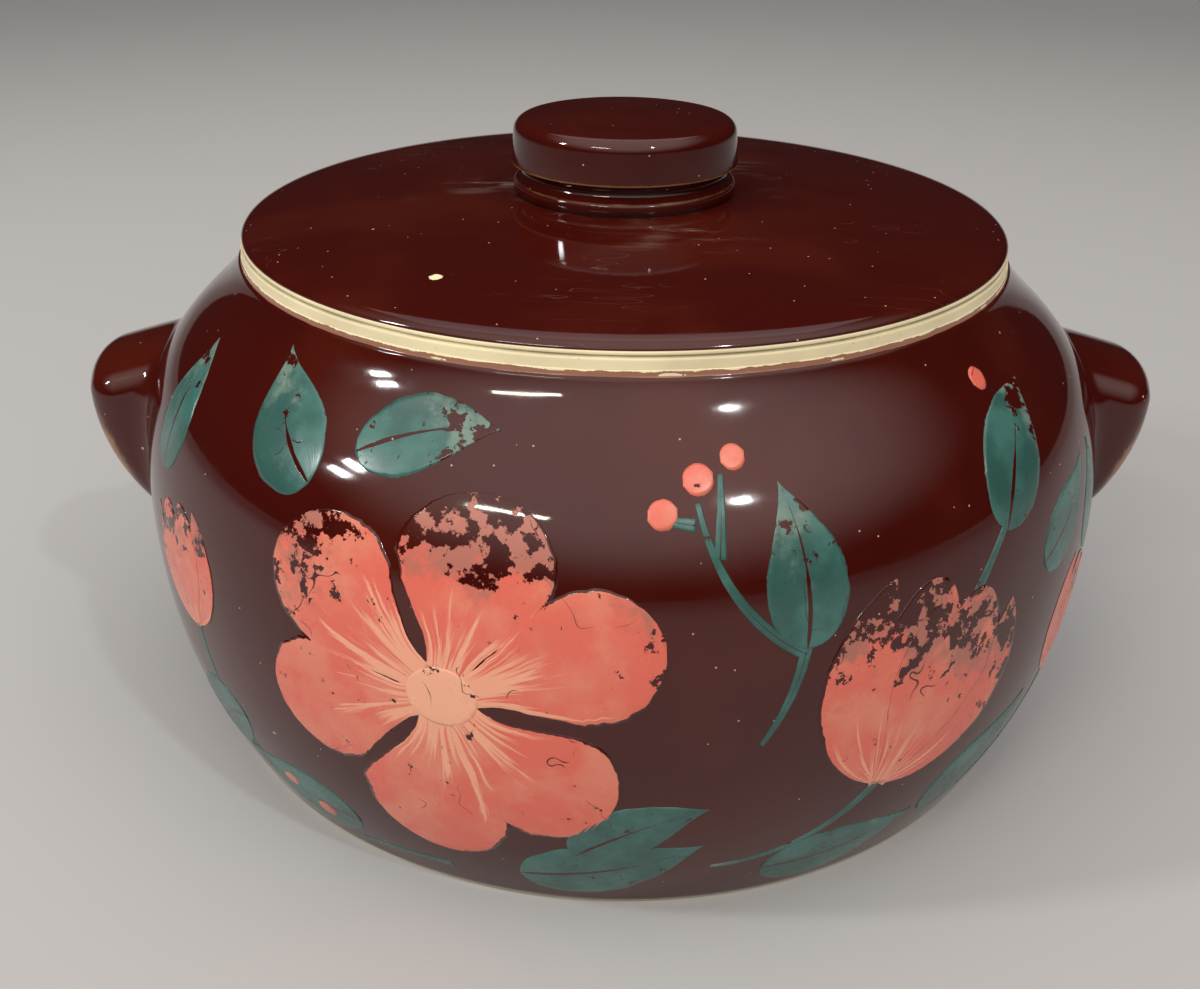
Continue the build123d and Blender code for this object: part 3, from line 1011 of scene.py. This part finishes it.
LEAVES = (  # foot, heading, length and width, bend, wear and painted sheen
    ((-66, 36), 152, (34, 18), -30, 0.5),
    ((-58, 44), 34, (32, 16), -35, 0.85),
    ((-90, -26), 200, (34, 18), 16, 0.3),
    ((-60, -42), 186, (36, 18), -25, 0.2),
    ((-22, -45), 6, (40, 19), 24, 0.3),
    ((-10, -36), 44, (30, 15), -30, 0.1),
    ((30, -45), -4, (38, 18), 22, 0.3),
    ((70, -42), 20, (36, 18), 28, 0.2),
    ((32, 13), 84, (31, 16), 24, 0.6),
    ((80, 24), 66, (36, 18), -40, 0.75),
    ((94, 12), 18, (28, 15), 30, 0.3),
    ((-118, 22), 82, (30, 16), 34, 0.5),
    ((124, 2), 80, (26, 14), 20, 0.3),
)
STEMS = (  # start, heading, length, bend
    ((52, -23), 236, 40, -56), ((-102, -7), 272, 36, 40), ((112, -23), 240, 34, -40),
    ((-38, -48), 182, 26, 10), ((32, 12), 150, 36, -52), ((16, 31), 84, 15, 0), ((12, 37), 170, 8, 0),
    ((32, 14), 262, 22, -24), ((70, 14), 52, 26, -10),
)


def wall_reader(pot):
    """Gives the place on the wall's outline, and the way out of it, at a distance up from the widest turn."""
    upper, lower = wall_curves(pot, inset=0, count=120)
    outline = lower[::-1] + upper[::-1][1:]
    runs = run_lengths(outline)
    belly_run = runs[len(lower) - 1]

    def read(up):
        run = up + belly_run
        index = min(max(bisect(runs, run), 1), len(runs) - 1)
        low, high = outline[index - 1], outline[index]
        along = (high - low).normalized()
        share_of_step = (run - runs[index - 1]) / (runs[index] - runs[index - 1])
        return low.lerp(high, share_of_step), at(along.y, -along.x)

    return read


def petal_width(u):
    """Half width along a petal: narrow at its foot, broad and round at its end."""
    if u < 0.62:
        return 0.26 + 0.74 * smooth_step(u, 0, 0.62)
    return max(sqrt(max(1 - ((u - 0.62) / 0.38) ** 2, 0)), 0.03)


def leaf_width(u):
    """Half width along a leaf: broad near its foot and drawn out to a point."""
    if u < 0.36:
        return max(sqrt(1 - ((0.36 - u) / 0.36) ** 2), 0.06)
    return max(cos(pi / 2 * (u - 0.36) / 0.64) ** 1.15, 0.02)


def lance_width(u):
    """Half width along a slender stroke, pointed at both ends."""
    return max(sin(pi * u) ** 0.8, 0.03)


def stem_width(u):
    return 1 - 0.55 * u


def dot_width(u):
    return max(sqrt(max(1 - (2 * u - 1) ** 2, 0)), 0.03)


def facing(turn):
    """Unit vector on the wall in a direction in radians."""
    return at(cos(turn), sin(turn))


def stroke(wall, start, heading, size, bend, width_at, layer, seed, wear_and_sheen=0.0, streaks=0.0, margin=-0.02):
    """One brush stroke that lies on the wall, from a start, curving by its bend in degrees."""
    pot, paint = settings().pot, settings().paint
    reach, breadth = size[0] * MM, size[1] * MM
    cells = max(6, round(breadth / STROKE_CELL)), round(reach / STROKE_CELL) + 2
    deselect_all()
    bpy.ops.mesh.primitive_grid_add(x_subdivisions=cells[0], y_subdivisions=cells[1], size=2)
    piece = bpy.context.object
    lift = paint.lift + layer * paint.layer
    first, turn = radians(heading), radians(bend)
    wear_and_sheen_values = []
    for vertex in piece.data.vertices:
        across, u = vertex.co.x, (vertex.co.y + 1) / 2
        half_turn = turn * u / 2
        chord = reach * u * (sin(half_turn) / half_turn if half_turn else 1)
        side = at(-sin(first + turn * u), cos(first + turn * u))
        ragged = 1 + sum(far * noise.noise(Vector((u * often, across, seed))) for far, often in STROKE_WAVER)
        aside = side * across * breadth / 2 * width_at(u) * ragged
        flat = at(*start) * MM + facing(first + half_turn) * chord - aside
        point, out = wall(flat.y)
        inwards = smooth_step(1 - abs(across), 0, STROKE_EDGE)
        point = point + out * lift * (STROKE_EDGE_HEIGHT + (1 - STROKE_EDGE_HEIGHT) * inwards)
        around = flat.x / pot.belly_radius
        vertex.co = (point.x * sin(around), -point.x * cos(around), point.y)
        # Wear and painted sheen: more towards the end of the stroke.
        wear_and_sheen_values.append(min(1, wear_and_sheen * smooth_step(u, WEAR_AND_SHEEN_FROM, 1) * WEAR_AND_SHEEN_RISE))
    mark(piece, "wear_and_sheen", wear_and_sheen_values)
    for name, value in (("seed", seed), ("streaks", streaks), ("margin", margin)):
        mark(piece, name, [value] * len(wear_and_sheen_values))
    return piece


def painted(name, strokes, slot, finish):
    """Joins brush strokes into one piece, thickens them into the glaze and finishes them."""
    deselect_all()
    for piece in strokes:
        piece.select_set(True)
    bpy.context.view_layer.objects.active = strokes[0]
    bpy.ops.object.join()
    piece = bpy.context.object
    piece.name = piece.data.name = name
    edit_all(merge_doubles)
    modify(piece, "SOLIDIFY", thickness=STROKE_DEPTH, offset=-1)
    bpy.ops.object.shade_smooth()
    finish_piece(piece, "pot", slot, finish)


class BEANPOT_OT_blossom(bpy.types.Operator):
    """Paint the large open blossom on the left of the front"""

    bl_idname = "bean_pot.blossom"
    bl_label = "Blossom"

    def execute(self, context):
        wall = wall_reader(settings().pot)
        centre = at(*BLOSSOM_CENTRE)
        petals = []
        for index, bend in enumerate(BLOSSOM_BENDS):
            heading = BLOSSOM_HEADING + 360 / len(BLOSSOM_BENDS) * index
            foot = centre + facing(radians(heading)) * PETAL_START
            size = (35 + 3 * (index % 2), 31 - 2 * (index % 3))
            # Upward petals get more wear and more painted sheen.
            wear_and_sheen = BLOSSOM_WEAR_AND_SHEEN * max(sin(radians(heading)), 0)
            streaks = 0.42 + 0.06 * (index % 2)
            petals.append(stroke(wall, foot, heading - bend / 2, size, bend, petal_width, layer=index % 3,
                                 seed=3.7 * index, wear_and_sheen=wear_and_sheen, streaks=streaks, margin=0.008))
        painted("blossom_petals", petals, "petal_paint", "petal_paint")
        left = centre - at(BLOSSOM_DISC[0] / 2, 0)
        disc = stroke(wall, left, 0, BLOSSOM_DISC, 0, dot_width, layer=4, seed=31.0, wear_and_sheen=0.3)
        painted("blossom_centre", [disc], "petal_paint", "centre_paint")
        return {"FINISHED"}


class BEANPOT_OT_buds(bpy.types.Operator):
    """Paint the tulip on the right, the small buds at the sides and the berries"""

    bl_idname = "bean_pot.buds"
    bl_label = "Tulip, buds and berries"

    def execute(self, context):
        wall = wall_reader(settings().pot)
        petals = []
        for foot, heading, scale, wear_and_sheen in BUDS:
            for turn, bend, reach, breadth, layer in BUD_PETALS:
                width_at = petal_width if layer else lance_width
                size = (reach * scale, breadth * scale)
                petals.append(stroke(wall, foot, heading + turn, size, bend, width_at, layer,
                                     seed=foot[0] + turn, wear_and_sheen=wear_and_sheen, streaks=0.36, margin=0.03))
        painted("bud_petals", petals, "petal_paint", "petal_paint")
        dots = [
            stroke(wall, place, BERRY_HEADING, (width, width * BERRY_SHAPE), 0, dot_width, layer=3,
                   seed=place[0], wear_and_sheen=0.4, streaks=0.2)
            for place, width in BERRIES
        ]
        painted("berries", dots, "petal_paint", "petal_paint")
        return {"FINISHED"}


class BEANPOT_OT_leaves(bpy.types.Operator):
    """Paint the leaves and the curved stems"""

    bl_idname = "bean_pot.leaves"
    bl_label = "Leaves and stems"

    def execute(self, context):
        wall = wall_reader(settings().pot)
        leaves = [
            stroke(wall, foot, heading, size, bend, leaf_width, layer=1,
                   seed=foot[0], wear_and_sheen=wear_and_sheen, streaks=0.18)
            for foot, heading, size, bend, wear_and_sheen in LEAVES
        ]
        painted("leaves", leaves, "leaf_paint", "leaf_paint")
        stems = [
            stroke(wall, start, heading, (reach, STEM_WIDTH), bend, stem_width, layer=0,
                   seed=start[1], wear_and_sheen=0.3, streaks=0.1)
            for start, heading, reach, bend in STEMS
        ]
        painted("stems", stems, "leaf_paint", "leaf_paint")
        return {"FINISHED"}


# ---- Studio ----

CAMERA_PLACE = Vector((-6.46, -297.18, 197.93)) * MM
CAMERA_TILT = radians(27.71)  # below level
CAMERA_TURN = radians(-0.33)  # about the pot's axis
CAMERA_ROLL = radians(0.63)
NEAREST_SEEN = 0.01
SENSOR_WIDTH = 36  # mm
FLOOR_RADIUS = 8.0
FLOOR_FADE = (0.35, 1.5)  # the table darkens between these distances from the pot
GLOW_FROM = (4, 68)  # azimuth and elevation
GLOW_SPREAD = (22, 66)  # full out to the first angle, and gone at the second
GLOW_WIDTH = 1.04  # how much further it spreads sideways
AIM = Vector((0, 0, 60 * MM))  # the lamps face this place, in the middle of the pot
LAMPS = (  # name, azimuth, elevation, distance, width and height, power, colour
    ("window_upper", -73, 38, 1.2, (0.10, 0.045), 1.8, (1, 1, 1)),
    ("window_lower", -73, 33, 1.2, (0.10, 0.045), 1.8, (1, 1, 1)),
    ("strip_light", -29, 41, 1.3, (0.36, 0.035), 2.2, (1, 0.93, 0.78)),
    ("spot_light", 33, 48, 1.3, (0.05, 0.05), 2.2, (1, 1, 1)),
)


def direction(azimuth, elevation):
    """Unit vector from the pot, with azimuth 0 in front of it and 90 at its right."""
    turn, up = radians(azimuth), radians(elevation)
    return Vector((sin(turn) * cos(up), -cos(turn) * cos(up), sin(up)))


def lamp(name, azimuth, elevation, distance, size, power, tint=(1, 1, 1)):
    """A flat lamp that faces the pot."""
    data = bpy.data.lights.new(name, "AREA")
    data.shape = "RECTANGLE"
    data.size, data.size_y = size
    data.energy = power
    data.color = tint
    holder = bpy.data.objects.new(name, data)
    bpy.context.scene.collection.objects.link(holder)
    away = direction(azimuth, elevation)
    holder.location = away * distance + AIM
    holder.rotation_euler = (-away).to_track_quat("-Z", "Y").to_euler()


def soft_sky(studio):
    """Dim light from all round, with a broad soft glow high in front."""
    world = bpy.data.worlds.new("studio")
    world.use_nodes = True
    look = Look(world.node_tree)
    way = look.add("ShaderNodeTexCoord")["Generated"]
    way = look.vector("NORMALIZE", look.vector("MULTIPLY", way, (1 / GLOW_WIDTH, 1, 1)))
    towards = look.distance(way, "DOT_PRODUCT", direction(*GLOW_FROM))
    inner, outer = (cos(radians(spread)) for spread in GLOW_SPREAD)
    glow = towards.ramp(outer, inner, 0.0, studio.glow_strength)
    bright = look.add("ShaderNodeVectorMath", {0: studio.glow[:3], "Scale": glow}, operation="SCALE")[0]
    total = look.vector("ADD", bright, studio.surround[:3])
    look.fill(look.tree.nodes["Background"].inputs, {"Color": total})
    return world


class BEANPOT_OT_stage(bpy.types.Operator):
    """Set the pale floor, the soft lamps and the camera"""

    bl_idname = "bean_pot.stage"
    bl_label = "Studio"

    def execute(self, context):
        studio = settings().studio
        deselect_all()
        bpy.ops.mesh.primitive_circle_add(vertices=96, radius=FLOOR_RADIUS, fill_type="NGON")
        floor = bpy.context.object
        floor.name = "studio_floor"
        floor.data.materials.append(finished("studio_floor"))

        context.scene.world = soft_sky(studio)
        lamp("back_light", 180, 60, 2.2, (2.0, 0.8), studio.back_power)
        for row in LAMPS:
            lamp(*row)

        camera_data = bpy.data.cameras.new("camera")
        camera_data.sensor_width = SENSOR_WIDTH
        camera_data.lens = studio.lens
        camera_data.clip_start = NEAREST_SEEN
        camera = bpy.data.objects.new("camera", camera_data)
        context.scene.collection.objects.link(camera)
        turn = Matrix.Rotation(CAMERA_TURN, 4, "Z")
        tilt = Matrix.Rotation(pi / 2 - CAMERA_TILT, 4, "X")
        roll = Matrix.Rotation(CAMERA_ROLL, 4, "Z")
        camera.matrix_world = Matrix.Translation(CAMERA_PLACE) @ turn @ tilt @ roll
        context.scene.camera = camera
        context.scene.view_settings.view_transform = "Standard"
        return {"FINISHED"}


class BEANPOT_PT_panel(bpy.types.Panel):
    """Builds the pot piece by piece"""

    bl_idname = "BEANPOT_PT_panel"
    bl_label = "Bean Pot"
    bl_space_type = "VIEW_3D"
    bl_region_type = "UI"
    bl_category = "Bean Pot"

    def draw(self, context):
        for operator in OPERATORS:
            self.layout.operator(operator.bl_idname)


GROUPS = (PotSizes, LidSizes, KnobSizes, GlazeFinish, PaintFinish, StudioSettings, BeanPotSettings)
OPERATORS = (
    BEANPOT_OT_pot_clay,
    BEANPOT_OT_pot_glaze,
    BEANPOT_OT_lugs,
    BEANPOT_OT_lid_clay,
    BEANPOT_OT_lid_glaze,
    BEANPOT_OT_knob,
    BEANPOT_OT_blossom,
    BEANPOT_OT_buds,
    BEANPOT_OT_leaves,
    BEANPOT_OT_stage,
)
CLASSES = (*GROUPS, *OPERATORS, BEANPOT_PT_panel)


def register():
    for cls in CLASSES:
        bpy.utils.register_class(cls)
    bpy.types.Scene.bean_pot = PointerProperty(type=BeanPotSettings)


def unregister():
    del bpy.types.Scene.bean_pot
    for cls in reversed(CLASSES):
        bpy.utils.unregister_class(cls)


def main():
    register()
    bpy.ops.bean_pot.pot_clay()
    bpy.ops.bean_pot.pot_glaze()
    bpy.ops.bean_pot.lugs()
    bpy.ops.bean_pot.lid_clay()
    bpy.ops.bean_pot.lid_glaze()
    bpy.ops.bean_pot.knob()
    bpy.ops.bean_pot.blossom()
    bpy.ops.bean_pot.buds()
    bpy.ops.bean_pot.leaves()
    bpy.ops.bean_pot.stage()
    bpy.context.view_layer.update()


if __name__ == "__main__":
    main()
